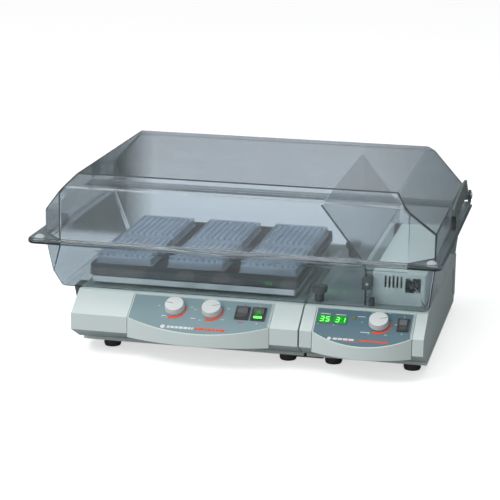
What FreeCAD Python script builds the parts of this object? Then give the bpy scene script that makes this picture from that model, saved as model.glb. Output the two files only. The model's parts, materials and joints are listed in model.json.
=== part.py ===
"""Incubator shaker: an orbital plate shaker and a heater unit under one clear hood.

Millimetres. +Z up, the front faces -Y, and the origin is on the table, under the middle
of the whole machine. The shaker stands on the left, the heater unit on the right, and
the hood's tub rests on both.
"""
import FreeCAD
import Part
import math
import os

V = FreeCAD.Vector

# ---- hood -----------------------------------------------------------------------------
RIM_TOP = 168.0            # top of the lid's flange
HOOD_HALF_X = 285.0
HOOD_FRONT = -189.0
HOOD_BACK = 191.0
LID_RISE = 93.0            # from the rim's top to the flat top facet
LID_SIDE_RISE = 33.0       # where the lid's sides start to lean in
LID_TOP_HALF_X = 231.0
LID_TOP_FRONT = HOOD_FRONT + 24.0
LID_TOP_BACK = HOOD_BACK - 20.0
LID_FRONT_RISE = 77.0
LID_BACK_RISE = 83.0
CORNER_X = 34.0            # plan chamfer of the front corners
CORNER_Y = 39.0
HOOD_WALL = 3.0
FLANGE_T = 4.0
FLANGE_HALF_X = 299.0
FLANGE_FRONT = HOOD_FRONT - 8.0
LID_FLANGE_BACK = HOOD_BACK + 16.0
TUB_FLANGE_BACK = HOOD_BACK + 27.0
FLANGE_CORNER = 12.0
LIP_HALF_X = 115.0         # grip lip in the middle of the lid's front flange
LIP_OUT = 16.0
TUB_TOP = RIM_TOP - FLANGE_T - 0.3
TUB_SHOULDER = TUB_TOP - 10.0
TUB_BOTTOM = 90.0
TUB_FLOOR = TUB_BOTTOM + HOOD_WALL

# ---- housings -------------------------------------------------------------------------
DECK = 90.0                # top of both housings, under the tub
FACE_Y = -209.0            # vertical front face
SLOPE_BACK_Y = -167.0      # upper edge of the sloped panel
CREASE_Z = 65.0            # where the sloped panel meets the front face
FACE_BOTTOM = 41.0
SPLIT_Y = -160.0           # joint between the front moulding and the cover
BACK_Y = 190.0
PAN_TOP = 20.0
PAN_BOTTOM = 10.0
PAN_FRONT = -152.0
SHELL = 2.5
SLOPE = math.atan2(DECK - CREASE_Z, SLOPE_BACK_Y - FACE_Y)
BULGE = 20.0               # how far a fascia bows out in front of the face
FASCIA_BOTTOM = 35.5
SHAKER_X = (-229.0, 102.0)
SHAKER_FASCIA_X = (-145.0, 61.0)
HEATER_X = (104.5, 279.0)
HEATER_FASCIA_X = (122.5, 262.5)
SEAM = 0.8                 # gap either side of a fascia

# ---- controls, on the sloped panels: x across, s down the slope ------------------------
KNOB_R = 14.5
KNOB_H = 9.0
SPINDLE_R = 3.0
KNOB_S = 24.5
SHAKER_KNOBS = {"timer_knob": -80.0, "speed_knob": -26.0}
HEATER_KNOB_X = 213.5
POINTER_DEG = {"timer_knob": 80.0, "speed_knob": -70.0, "temperature_knob": -72.0}
ROCKER_S = 25.0
ROCKERS = {
    "start_rocker": (18.6, 20.6, 25.0),
    "shaker_power_rocker": (42.0, 20.6, 25.0),
    "heater_power_rocker": (247.3, 16.6, 24.0),
}
ROCKER_TILT = 6.0          # degrees each way from level
LABEL_T = 0.4

# ---- shaker drive ---------------------------------------------------------------------
AXIS_X = -65.0             # main shaft, under the middle of the platform
AXIS_Y = 0.0
ORBIT = 1.5                # crank throw: a 3 mm orbit
SHAFT_R = 8.5
PIN_R = 6.0
RUN = 0.05                 # radial running clearance
PULLEY_R = 48.0
MOTOR_PULLEY_R = 12.0
MOTOR_X = AXIS_X + 108.0
GUIDES = [(-185.0, -105.0), (55.0, -105.0), (-65.0, 125.0)]
GUIDE_R = 4.0

# ---- platform -------------------------------------------------------------------------
PLATFORM_X = (-220.0, 89.0)
PLATFORM_Y = (-145.0, 145.0)
CARRIAGE_Z = (97.0, 105.5)
PLATE_Z = (107.5, 116.5)
MAT_TOP = 123.0
MICROPLATE = (85.48, 127.76, 14.35)
COLUMN_PITCH = 107.0
ROW_PITCH = 133.5
ROW_MID_Y = -6.0

# ---- heater unit ----------------------------------------------------------------------
AIRBOX_X = (195.0, 270.0)
AIRBOX_Y = (-139.0, 161.0)
AIRBOX_TOP = 138.0
LOUVRE_X = 212.5           # upright slots in the air box's front
LOUVRE_PITCH = 5.6
LOUVRE_W = 3.0
LOUVRE_COUNT = 5
LOUVRE_Z = (117.5, 134.5)
FAN_X = 252.5
FAN_Z = 122.0
FAN_SIDE = 25.0
BAFFLE_X = 186.5
BAFFLE_T = 2.5
BAFFLE_BEND = 160.0
BAFFLE_TOP = (125.0, 238.0)
BAFFLE_FRONT = -151.0      # edges of its upright part, inside the tub
BAFFLE_BACK = 175.0
BAFFLE_SHOULDER = 140.0
CLAMPS = {"clamp_knob_front": (121.0, -145.0), "clamp_knob_rear": (127.0, 110.0)}

# ---- feet and hinge --------------------------------------------------------------------
FOOT_R = 12.5
FOOT_X = (-187.5, 76.0, 142.5, 256.0)
FOOT_Y = (-139.0, 160.0)
HINGE_Y = 220.0
HINGE_Z = 176.0
ARM_X = (286.5, 290.0)
HINGE_PIN_R = 3.0
STUD_X = 289.6             # studs just outside the lid's side walls
STUD_Y = 20.8
PLATE_X = (89.5, 129.5)    # joining plates, between the feet
SCREW_X = (-167.5, 56.0, 162.5, 236.0)
SCREW_R = 1.5
INLET_X = (-200.0, 150.0)
INLET_Z = (35.0, 57.0)
INLET_DEPTH = 15.0         # shroud that stands out from the rear wall
SIDE_VENT_Y = (149.0, 163.0)
SIDE_VENT_Z = (30.0, 71.0)
BRACKET_Y = (-158.0, 110.0)
BRACKET_LENGTH = 32.0
BRACKET_OUT = 10.0
BRACKET_FOOT = 56.0
PLUG = (197.0, -152.0)     # drain plug in the tub's floor


# ---- helpers --------------------------------------------------------------------------
def box(x, y, z):
    """Solid box between the pairs x, y and z."""
    corner = V(x[0], y[0], z[0])
    return Part.makeBox(x[1] - x[0], y[1] - y[0], z[1] - z[0], corner)


def rod(x, y, z, r, length, along=V(0, 0, 1)):
    return Part.makeCylinder(r, length, V(x, y, z), along)


def tube(x, y, z, r_out, r_in, length, along=V(0, 0, 1)):
    outer = rod(x, y, z, r_out, length, along)
    return outer.cut(rod(x, y, z, r_in, length, along))


def side_profile(points, x):
    """Polygon of (y, z) points, pulled along X between the pair x."""
    corners = [V(x[0], y, z) for y, z in points]
    wire = Part.makePolygon(corners + corners[:1])
    return Part.Face(wire).extrude(V(x[1] - x[0], 0, 0))


def plan_polygon(points, z):
    """Polygon of (x, y) points, pulled up between the pair z."""
    corners = [V(x, y, z[0]) for x, y in points]
    wire = Part.makePolygon(corners + corners[:1])
    return Part.Face(wire).extrude(V(0, 0, z[1] - z[0]))


def rounded_box(x, y, z, r, edges_along="z"):
    """Box with its four edges along one axis rounded."""
    block = box(x, y, z)
    axis = {"x": V(1, 0, 0), "y": V(0, 1, 0), "z": V(0, 0, 1)}[edges_along]
    picked = []
    for edge in block.Edges:
        direction = edge.tangentAt(edge.FirstParameter)
        if abs(direction.dot(axis)) > 0.99:
            picked.append(edge)
    return block.makeFillet(r, picked)


def plane_mover(point, normal):
    """Cutting block with its flat face on the plane, on the side of the normal."""
    block = Part.makeBox(2400, 2400, 1200)
    block.translate(V(-1200, -1200, 0))
    turn = FreeCAD.Rotation(V(0, 0, 1), normal)
    matrix = FreeCAD.Placement(point, turn).toMatrix()
    return block.transformGeometry(matrix)


def facet(a, b, c, inside):
    """Plane through three points, its normal pointing away from the point inside."""
    normal = (b - a).cross(c - a)
    normal.normalize()
    if normal.dot(inside - a) > 0:
        normal = normal * -1
    return a, normal


def hollow_form(planes, shift, z):
    """Convex solid inside the planes, each moved inwards by shift."""
    shape = box((-400, 400), (-400, 400), z)
    for point, normal in planes:
        shape = shape.cut(plane_mover(point - normal * shift, normal))
    return shape


def on_slope(shape, x, s, h=0.0):
    """Place a shape built about the origin, with +Z out of the sloped panel."""
    turn = FreeCAD.Rotation(V(1, 0, 0), math.degrees(SLOPE))
    base = V(x, SLOPE_BACK_Y - s * math.cos(SLOPE), DECK - s * math.sin(SLOPE))
    out = V(0, -math.sin(SLOPE), math.cos(SLOPE))
    placed = shape.copy()
    placed.Placement = FreeCAD.Placement(base + out * h, turn).multiply(placed.Placement)
    return placed


def save(node, shape):
    """Write one node; a list of solids becomes a group."""
    if isinstance(shape, list):
        shape = Part.makeCompound(shape)
    for solid in shape.Solids:
        if not solid.isValid():
            print("not valid:", node)
    print(f"{node:26s}{len(shape.Solids):3d} solids {shape.Volume / 1000:9.1f} cm3")
    shape.exportStep(f"parts/{node}.step")


# ---- hood -----------------------------------------------------------------------------
def hood_planes_lid():
    inside = V(0, 0, RIM_TOP + 20)
    planes = []
    side_z = RIM_TOP + LID_SIDE_RISE
    top_z = RIM_TOP + LID_RISE
    planes.append((V(0, 0, top_z), V(0, 0, 1)))
    planes.append((V(0, HOOD_FRONT, 0), V(0, -1, 0)))
    planes.append((V(0, HOOD_BACK, 0), V(0, 1, 0)))
    bevel_z = RIM_TOP + LID_FRONT_RISE
    front = (V(0, HOOD_FRONT, bevel_z), V(10, HOOD_FRONT, bevel_z), V(0, LID_TOP_FRONT, top_z))
    planes.append(facet(*front, inside))
    rear_z = RIM_TOP + LID_BACK_RISE
    rear = (V(0, HOOD_BACK, rear_z), V(10, HOOD_BACK, rear_z), V(0, LID_TOP_BACK, top_z))
    planes.append(facet(*rear, inside))
    for side in (-1, 1):
        wall = side * HOOD_HALF_X
        planes.append((V(wall, 0, 0), V(side, 0, 0)))
        top_x = side * LID_TOP_HALF_X
        leaning = (V(wall, 0, side_z), V(wall, 10, side_z), V(top_x, 0, top_z))
        planes.append(facet(*leaning, inside))
        a = V(side * (HOOD_HALF_X - CORNER_X), HOOD_FRONT, bevel_z)
        b = V(wall, HOOD_FRONT + CORNER_Y, side_z)
        planes.append(facet(a, V(a.x, a.y, 0), b, inside))
    return planes


def hood_planes_tub():
    inside = V(0, 0, TUB_TOP - 5)
    left_foot = -258.0
    right_foot = HEATER_X[1]
    front_foot = HOOD_FRONT + 28.0
    back_foot = HOOD_BACK - 8.0
    planes = []
    for wall, foot in ((-HOOD_HALF_X, left_foot), (HOOD_HALF_X, right_foot)):
        corners = (V(wall, 0, TUB_SHOULDER), V(wall, 10, TUB_SHOULDER), V(foot, 0, TUB_BOTTOM))
        planes.append(facet(*corners, inside))
    for wall, foot in ((HOOD_FRONT, front_foot), (HOOD_BACK, back_foot)):
        corners = (V(0, wall, TUB_SHOULDER), V(10, wall, TUB_SHOULDER), V(0, foot, TUB_BOTTOM))
        planes.append(facet(*corners, inside))
    planes.append((V(0, 0, TUB_BOTTOM), V(0, 0, -1)))
    planes.append((V(0, HOOD_FRONT, 0), V(0, -1, 0)))
    planes.append((V(0, HOOD_BACK, 0), V(0, 1, 0)))
    for side in (-1, 1):
        planes.append((V(side * HOOD_HALF_X, 0, 0), V(side, 0, 0)))
        a = V(side * (HOOD_HALF_X - CORNER_X), HOOD_FRONT, TUB_TOP)
        b = V(side * HOOD_HALF_X, HOOD_FRONT + CORNER_Y, TUB_TOP)
        planes.append(facet(a, V(a.x, a.y, 0), b, inside))
    return planes


def soften(shape, radius, z_skip):
    """Round every edge that doesn't lie on the open face at height z_skip."""
    picked = []
    for edge in shape.Edges:
        at_opening = all(abs(v.Point.z - z_skip) < 0.01 for v in edge.Vertexes)
        if not at_opening:
            picked.append(edge)
    return shape.makeFillet(radius, picked)


def flange(z, back, lip, round_z):
    """Flat rim whose corners and round_z edge are rounded; lip is its bow at the front."""
    r = FLANGE_CORNER
    x = FLANGE_HALF_X
    y0 = FLANGE_FRONT
    k = r * (1 - math.sqrt(0.5))

    def p(px, py):
        return V(px, py, z[0])

    edges = []
    if lip > 0:
        steps = 12
        curve = []
        for i in range(steps + 1):
            t = -1 + 2 * i / steps
            curve.append(p(t * LIP_HALF_X, y0 - lip * 0.5 * (1 + math.cos(math.pi * t))))
        spline = Part.BSplineCurve()
        spline.interpolate(Points=curve, InitialTangent=V(1, 0, 0), FinalTangent=V(1, 0, 0))
        edges.append(Part.LineSegment(p(-x + r, y0), curve[0]).toShape())
        edges.append(spline.toShape())
        edges.append(Part.LineSegment(curve[-1], p(x - r, y0)).toShape())
    else:
        edges.append(Part.LineSegment(p(-x + r, y0), p(x - r, y0)).toShape())
    edges.append(Part.Arc(p(x - r, y0), p(x - k, y0 + k), p(x, y0 + r)).toShape())
    edges.append(Part.LineSegment(p(x, y0 + r), p(x, back - r)).toShape())
    edges.append(Part.Arc(p(x, back - r), p(x - k, back - k), p(x - r, back)).toShape())
    edges.append(Part.LineSegment(p(x - r, back), p(-x + r, back)).toShape())
    edges.append(Part.Arc(p(-x + r, back), p(-x + k, back - k), p(-x, back - r)).toShape())
    edges.append(Part.LineSegment(p(-x, back - r), p(-x, y0 + r)).toShape())
    edges.append(Part.Arc(p(-x, y0 + r), p(-x + k, y0 + k), p(-x + r, y0)).toShape())
    face = Part.Face(Part.Wire(Part.__sortEdges__(edges)))
    slab = face.extrude(V(0, 0, z[1] - z[0]))
    for height, radius in ((round_z, FLANGE_T - 0.9), (z[0] + z[1] - round_z, 0.5)):
        rim_edges = [e for e in slab.Edges if all(abs(v.Z - height) < 0.01 for v in e.Vertexes)]
        slab = slab.makeFillet(radius, rim_edges)
    return slab


def hood_lid():
    z = (RIM_TOP - FLANGE_T, RIM_TOP + 200)
    outer = soften(hollow_form(hood_planes_lid(), 0, z), 4.0, z[0])
    inner = soften(hollow_form(hood_planes_lid(), HOOD_WALL, (z[0] - 1, z[1])), 2.0, z[0] - 1)
    rim = flange((RIM_TOP - FLANGE_T, RIM_TOP), LID_FLANGE_BACK, LIP_OUT, RIM_TOP)
    lid = outer.fuse(rim).cut(inner).removeSplitter()
    return lid


def tub():
    z = (0, TUB_TOP)
    outer = soften(hollow_form(hood_planes_tub(), 0, z), 7.0, TUB_TOP)
    inner = soften(hollow_form(hood_planes_tub(), HOOD_WALL, (0, TUB_TOP + 1)), 2.0, TUB_TOP + 1)
    rim = flange((TUB_TOP - FLANGE_T, TUB_TOP), TUB_FLANGE_BACK, 0, TUB_TOP - FLANGE_T)
    shell = outer.fuse(rim).cut(inner).removeSplitter()
    drive_hole = rounded_box((-204.5, 74.5), (-130.5, 150.5), (80, 100), 10)
    air_x = (AIRBOX_X[0] - 0.5, AIRBOX_X[1] + 0.5)
    air_y = (AIRBOX_Y[0] - 0.5, AIRBOX_Y[1] + 0.5)
    air_hole = box(air_x, air_y, (80, 100))
    shell = shell.cut(drive_hole).cut(air_hole)
    for x, y in CLAMPS.values():
        shell = shell.cut(rod(x, y, 80, 3.4, 20))
    return shell.cut(rod(PLUG[0], PLUG[1], 80, 2.5, 20))


def drain_plug():
    """Black stopper pushed into a hole in the tub's floor."""
    x, y = PLUG
    head = rod(x, y, TUB_FLOOR, 4.2, 12)
    stem = rod(x, y, TUB_BOTTOM, 2.5, TUB_FLOOR - TUB_BOTTOM)
    return head.fuse(stem).removeSplitter()


def air_baffle():
    """Clear sheet that stands beside the air box and leans over the platform."""
    x, t = BAFFLE_X, BAFFLE_T
    top_x, top_z = BAFFLE_TOP
    run = math.hypot(x - top_x, top_z - BAFFLE_BEND)
    nx, nz = (top_z - BAFFLE_BEND) / run * t, (x - top_x) / run * t
    outline = [
        (x, TUB_FLOOR), (x, BAFFLE_BEND), (top_x, top_z),
        (top_x + nx, top_z + nz), (x + t, BAFFLE_BEND + t * 0.45), (x + t, TUB_FLOOR),
    ]
    front, back = HOOD_FRONT + 14.0, HOOD_BACK - 12.0
    corners = [V(px, front, pz) for px, pz in outline]
    sheet = Part.Face(Part.makePolygon(corners + corners[:1])).extrude(V(0, back - front, 0))
    around = (x - 10, x + 20)
    notch = side_profile(
        [(front - 5, TUB_FLOOR - 1), (BAFFLE_FRONT, TUB_FLOOR - 1),
         (BAFFLE_FRONT, BAFFLE_SHOULDER), (front, RIM_TOP - 2), (front - 5, RIM_TOP - 2)],
        around,
    )
    rear_notch = box(around, (BAFFLE_BACK, back + 5), (TUB_FLOOR - 1, TUB_SHOULDER))
    return sheet.cut(notch).cut(rear_notch)


def baffle_clips():
    """Black clip at each end of the baffle, holding it to the air box's side."""
    clips = []
    for y in ((BAFFLE_FRONT - 4, AIRBOX_Y[0] + 7), (AIRBOX_Y[1] - 7, BAFFLE_BACK + 3.5)):
        grip = box((BAFFLE_X - 4, AIRBOX_X[0]), y, (116, 134))
        sheet = box((BAFFLE_X, BAFFLE_X + BAFFLE_T), (BAFFLE_FRONT, BAFFLE_BACK), (115, 135))
        clips.append(grip.cut(sheet))
    return clips


def lid_corner_buttons():
    """Moulded domes on the lid's flange at its front corners."""
    buttons = []
    for side in (-1, 1):
        ball = Part.makeSphere(9.0, V(side * 283, HOOD_FRONT + 6, RIM_TOP - 5.0))
        buttons.append(ball.common(rod(side * 283, HOOD_FRONT + 6, RIM_TOP, 8, 10)))
    return buttons


# ---- hinge ----------------------------------------------------------------------------
def hinge_arms():
    arms = []
    for side in (-1, 1):
        outline = [
            (26, 181), (26, 196), (40, 200), (150, 209), (196, 206), (HINGE_Y + 5, HINGE_Z + 7),
            (HINGE_Y + 8.3, HINGE_Z), (HINGE_Y + 5, HINGE_Z - 6.5), (HINGE_Y - 4, HINGE_Z - 7), (190, 178),
        ]
        x = sorted((side * ARM_X[0], side * ARM_X[1]))
        arm = side_profile(outline, x)
        arm = arm.cut(rod(x[0] - 1, HINGE_Y, HINGE_Z, HINGE_PIN_R + RUN, 6, V(1, 0, 0)))
        pad_x = sorted((side * (HOOD_HALF_X), side * ARM_X[0]))
        for y in (60, 150):
            pad = rod(pad_x[0], y, 190, 6, pad_x[1] - pad_x[0], V(1, 0, 0))
            arm = arm.fuse(pad)
        arms.append(arm.removeSplitter())
    return arms


def arm_studs():
    """Black stud with a bright tip at the front end of each arm."""
    studs = []
    for side in (-1, 1):
        x = side * STUD_X
        stud = rod(x, STUD_Y, RIM_TOP, 4.2, 17)
        tip = rod(x, STUD_Y, RIM_TOP + 17, 3.0, 3)
        studs.append(stud.fuse(tip).removeSplitter())
    return studs


def hinge_brackets():
    """Lugs on the tub's rear flange that carry the hinge pins."""
    brackets = []
    for side in (-1, 1):
        lug_x = sorted((side * 291.2, side * 295.0))
        base_x = sorted((side * 266.0, side * 295.0))
        base = box(base_x, (209.0, TUB_FLANGE_BACK), (TUB_TOP, TUB_TOP + 2.8))
        stem = box(lug_x, (211.0, 229.0), (TUB_TOP, HINGE_Z))
        disc = rod(lug_x[0], HINGE_Y, HINGE_Z, 9.0, lug_x[1] - lug_x[0], V(1, 0, 0))
        hole = rod(lug_x[0], HINGE_Y, HINGE_Z, HINGE_PIN_R, lug_x[1] - lug_x[0], V(1, 0, 0))
        brackets.append(base.fuse(stem).fuse(disc).cut(hole).removeSplitter())
    return brackets


def hinge_pins():
    pins = []
    for side in (-1, 1):
        x = sorted((side * 285.6, side * 295.0))
        head_x = sorted((side * 295.0, side * 297.0))
        pin = rod(x[0], HINGE_Y, HINGE_Z, HINGE_PIN_R, x[1] - x[0], V(1, 0, 0))
        head = rod(head_x[0], HINGE_Y, HINGE_Z, 5.0, 2.0, V(1, 0, 0))
        pins.append(pin.fuse(head).removeSplitter())
    return pins


# ---- housings -------------------------------------------------------------------------
def front_profile(inset):
    """Side outline of the front moulding, moved in by inset."""
    drop = inset / math.cos(SLOPE)
    face = FACE_Y + inset
    crease = CREASE_Z + (face - FACE_Y) * math.tan(SLOPE) - drop
    slope_y = SLOPE_BACK_Y + (drop - inset) / math.tan(SLOPE)
    return [
        (SPLIT_Y, DECK - inset), (slope_y, DECK - inset), (face, crease),
        (face, FACE_BOTTOM), (FACE_Y + 40, PAN_TOP), (SPLIT_Y, PAN_TOP),
    ]


def front_moulding(x, fascia_x):
    """Full-width front shell, stepped back where the fascia sits."""
    shell = side_profile(front_profile(0), x)
    inner = side_profile(front_profile(SHELL), (x[0] + SHELL, x[1] - SHELL))
    open_back = box((x[0] + SHELL, x[1] - SHELL), (SPLIT_Y - 5, SPLIT_Y), (PAN_TOP, DECK - SHELL))
    shell = shell.cut(inner).cut(open_back)
    pocket_x = (fascia_x[0] - SEAM, fascia_x[1] + SEAM)
    window = side_profile(
        [(FACE_Y - 1, FASCIA_BOTTOM - SEAM), (SLOPE_BACK_Y + 1, FASCIA_BOTTOM - SEAM),
         (SLOPE_BACK_Y + 1, DECK + 1), (FACE_Y - 1, DECK + 1)],
        pocket_x,
    )
    shell = shell.cut(window)
    bulkhead = box(
        (pocket_x[0] - 3, pocket_x[1] + 3),
        (SLOPE_BACK_Y + 1, SLOPE_BACK_Y + 3.5),
        (PAN_TOP + 24, DECK - SHELL),
    )
    return shell.fuse(bulkhead).removeSplitter()


def fascia_outline(fascia_x, inset, z):
    """Fascia plan: straight sides and a front that bows out."""
    x0, x1 = fascia_x[0] + inset, fascia_x[1] - inset
    y0 = FACE_Y + inset * 0.2
    y1 = SLOPE_BACK_Y
    middle = V((x0 + x1) / 2, FACE_Y - BULGE + inset, z[0])
    edges = [
        Part.Arc(V(x0, y0, z[0]), middle, V(x1, y0, z[0])).toShape(),
        Part.LineSegment(V(x1, y0, z[0]), V(x1, y1, z[0])).toShape(),
        Part.LineSegment(V(x1, y1, z[0]), V(x0, y1, z[0])).toShape(),
        Part.LineSegment(V(x0, y1, z[0]), V(x0, y0, z[0])).toShape(),
    ]
    face = Part.Face(Part.Wire(edges))
    return face.extrude(V(0, 0, z[1] - z[0]))


SLOPE_OUT = V(0, -math.sin(SLOPE), math.cos(SLOPE))
SLOPE_POINT = V(0, SLOPE_BACK_Y, DECK)


def control_holes(controls):
    """Round holes for spindles and square ones for rocker bodies, through the panel."""
    holes = []
    for x, w, h in controls:
        if h:
            hole = box((-w / 2 + 1.4, w / 2 - 1.4), (-h / 2 + 1.4, h / 2 - 1.4), (-30, 5))
            holes.append(on_slope(hole, x, ROCKER_S))
        else:
            holes.append(on_slope(rod(0, 0, -30, w, 35), x, KNOB_S))
    return holes


def fascia(fascia_x, controls):
    outer = fascia_outline(fascia_x, 0, (FASCIA_BOTTOM, DECK))
    outer = outer.cut(plane_mover(SLOPE_POINT, SLOPE_OUT))
    inner = fascia_outline(fascia_x, SHELL, (FASCIA_BOTTOM - 1, DECK))
    inner = inner.cut(plane_mover(SLOPE_POINT - SLOPE_OUT * SHELL, SLOPE_OUT))
    shell = outer.cut(inner)
    for hole in control_holes(controls):
        shell = shell.cut(hole)
    return shell


def label(fascia_x, controls):
    slab = fascia_outline(fascia_x, 1.6, (FASCIA_BOTTOM, DECK + 5))
    slab = slab.cut(plane_mover(SLOPE_POINT + SLOPE_OUT * LABEL_T, SLOPE_OUT))
    slab = slab.cut(plane_mover(SLOPE_POINT, SLOPE_OUT * -1))
    keep = box((fascia_x[0] - 5, fascia_x[1] + 5), (-260, SLOPE_BACK_Y - 1.8), (0, 120))
    slab = slab.common(keep)
    for hole in control_holes(controls):
        slab = slab.cut(hole)
    return slab


def cover(x):
    """Shell behind the front moulding: deck, two sides and a back, open underneath."""
    outer = rounded_box(x, (SPLIT_Y, BACK_Y), (PAN_TOP, DECK), 2.0, "y")
    inner_x = (x[0] + SHELL, x[1] - SHELL)
    inner = box(inner_x, (SPLIT_Y - 1, BACK_Y - SHELL), (PAN_TOP - 1, DECK - SHELL))
    return outer.cut(inner)


def inlet_hole(x):
    return box((x - 14, x + 14), (BACK_Y - 10, BACK_Y + 1), INLET_Z)


def shaker_cover():
    shell = cover(SHAKER_X)
    shell = shell.cut(rod(AXIS_X, AXIS_Y, DECK - 10, 26, 20))
    for x, y in GUIDES:
        shell = shell.cut(rod(x, y, DECK - 10, 15, 20))
    shell = shell.cut(inlet_hole(INLET_X[0]))
    for i in range(4):
        x = -100.0 + i * 24
        slot = box((x, x + 12), (BACK_Y - 10, BACK_Y + 1), INLET_Z)
        shell = shell.cut(slot)
    return shell


def heater_cover():
    shell = cover(HEATER_X)
    air_x = (AIRBOX_X[0] + 6, AIRBOX_X[1] - 6)
    air_y = (AIRBOX_Y[0] + 6, AIRBOX_Y[1] - 6)
    shell = shell.cut(box(air_x, air_y, (DECK - 10, DECK + 10)))
    for x, y in CLAMPS.values():
        shell = shell.cut(rod(x, y, DECK - 10, 3.05, 20))
    shell = shell.cut(inlet_hole(INLET_X[1]))
    vent = box((HEATER_X[1] - 5, HEATER_X[1] + 1), SIDE_VENT_Y, SIDE_VENT_Z)
    return shell.cut(vent)


def base_pan(x):
    """Lower tray that the cover sits on, raised at its front edge."""
    outer = box((x[0] + 1, x[1] - 1), (PAN_FRONT, BACK_Y - 1), (PAN_BOTTOM, PAN_TOP))
    inner = box((x[0] + 3, x[1] - 3), (PAN_FRONT + 2, BACK_Y - 3), (PAN_BOTTOM + 2, PAN_TOP + 1))
    tray = outer.cut(inner)
    for screw_x in SCREW_X:
        for y in FOOT_Y:
            tray = tray.cut(rod(screw_x, y, PAN_BOTTOM - 1, SCREW_R + RUN, 6))
    return tray


def drive_cover_plate():
    """Black plate on the shaker's deck, inside the tub's cut-out."""
    plate = rounded_box((-204.0, 74.0), (-130.0, 150.0), (DECK, DECK + 4.5), 9.5)
    plate = plate.cut(rod(AXIS_X, AXIS_Y, DECK - 1, 24, 10))
    for x, y in GUIDES:
        plate = plate.cut(rod(x, y, DECK - 1, 13, 10))
    return plate


def left_support_bracket():
    """Two short folded brackets on the shaker's left wall, under the tub's overhang."""
    x = SHAKER_X[0]
    out = x - BRACKET_OUT
    brackets = []
    for y in BRACKET_Y:
        wall = box((x - 2.5, x), (y, y + BRACKET_LENGTH), (BRACKET_FOOT, DECK))
        shelf = box((out, x), (y, y + BRACKET_LENGTH), (DECK - 3, DECK))
        bracket = wall.fuse(shelf)
        for rib_y in (y, y + BRACKET_LENGTH - 3):
            corners = [(out, DECK), (x, DECK), (x, BRACKET_FOOT), (x - 4, BRACKET_FOOT)]
            rib = [V(px, rib_y, pz) for px, pz in corners]
            outline = Part.makePolygon(rib + rib[:1])
            bracket = bracket.fuse(Part.Face(outline).extrude(V(0, 3, 0)))
        brackets.append(bracket.removeSplitter())
    return brackets


def joining_plates():
    plates = []
    for y in (-150.0, 172.0):
        plates.append(box(PLATE_X, (y, y + 12), (PAN_BOTTOM - 2.5, PAN_BOTTOM)))
    return plates


def feet():
    solids = []
    for x in FOOT_X:
        for y in FOOT_Y:
            foot = Part.makeCone(FOOT_R - 1.2, FOOT_R, 3, V(x, y, 0))
            foot = foot.fuse(rod(x, y, 3, FOOT_R, 7)).removeSplitter()
            solids.append(foot)
    return solids


def housing_screws():
    """Pan-head screws under the base pans, one beside each foot."""
    screws = []
    for x in SCREW_X:
        for y in FOOT_Y:
            head = rod(x, y, PAN_BOTTOM - 2.2, 3.5, 2.2)
            shank = rod(x, y, PAN_BOTTOM, SCREW_R, 8)
            slot = box((x - 4, x + 4), (y - 0.5, y + 0.5), (PAN_BOTTOM - 2.3, PAN_BOTTOM - 1.2))
            screws.append(head.fuse(shank).cut(slot).removeSplitter())
    return screws


# ---- controls -------------------------------------------------------------------------
def knob(x, pointer):
    """Push-on knob with a fine pointer groove, on its own spindle."""
    cap = Part.makeCone(KNOB_R, KNOB_R - 1.2, KNOB_H, V(0, 0, 1.0))
    top_edge = [e for e in cap.Edges if abs(e.Vertexes[0].Z - KNOB_H - 1.0) < 0.01]
    cap = cap.makeFillet(0.9, top_edge[:1])
    groove = box((-0.45, 0.45), (2.0, KNOB_R + 1), (KNOB_H + 0.4, KNOB_H + 2))
    groove.rotate(V(0, 0, 0), V(0, 0, 1), pointer)
    cap = cap.cut(groove)
    for i in range(24):
        angle = i * 15
        flute = rod(KNOB_R + 0.35, 0, 0.5, 0.9, KNOB_H - 2)
        flute.rotate(V(0, 0, 0), V(0, 0, 1), angle)
        cap = cap.cut(flute)
    spindle = rod(0, 0, -12, SPINDLE_R, 14)
    return on_slope(cap.fuse(spindle).removeSplitter(), x, KNOB_S, LABEL_T)


def potentiometers():
    solids = []
    for x in list(SHAKER_KNOBS.values()) + [HEATER_KNOB_X]:
        can = rod(0, 0, -SHELL - 10, 9, 10)
        bush = rod(0, 0, -SHELL, 4.5, SHELL + 0.3)
        bore = rod(0, 0, -13, SPINDLE_R + RUN, 20)
        solids.append(on_slope(can.fuse(bush).cut(bore).removeSplitter(), x, KNOB_S))
    return solids


def rocker_frames():
    """Bezel and box of each rocker switch."""
    frames = []
    for x, w, h in ROCKERS.values():
        bezel = rounded_box((-w / 2, w / 2), (-h / 2, h / 2), (LABEL_T, LABEL_T + 1.8), 1.2)
        body = box((-w / 2 + 1.5, w / 2 - 1.5), (-h / 2 + 1.5, h / 2 - 1.5), (-16, LABEL_T))
        hollow = box((-w / 2 + 2.4, w / 2 - 2.4), (-h / 2 + 2.4, h / 2 - 2.4), (-12, LABEL_T + 3))
        frames.append(on_slope(bezel.fuse(body).cut(hollow).removeSplitter(), x, ROCKER_S))
    return frames


def rocker(name):
    """Rocker with two flats that meet in a shallow valley, tipped to its rest side."""
    x, w, h = ROCKERS[name]
    half_w, half_h = w / 2 - 2.8, h / 2 - 3.2
    rise = half_h * math.tan(math.radians(ROCKER_TILT))
    outline = [
        V(-half_w, -half_h, 1.9 + rise), V(-half_w, 0, 1.9), V(-half_w, half_h, 1.9 + rise),
        V(-half_w, half_h - 1.6, -5.0), V(-half_w, 0, -8.5), V(-half_w, -half_h + 1.6, -5.0),
    ]
    body = Part.Face(Part.makePolygon(outline + outline[:1])).extrude(V(2 * half_w, 0, 0))
    body.rotate(V(0, 0, -1.0), V(1, 0, 0), ROCKER_TILT)
    return on_slope(body, x, ROCKER_S, LABEL_T)


def displays():
    windows = []
    for x in (136.8, 158.8):
        window = rounded_box((-9.2, 9.2), (-6.6, 6.6), (LABEL_T, LABEL_T + 0.9), 0.8)
        windows.append(on_slope(window, x, 24.0))
    return windows


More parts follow.
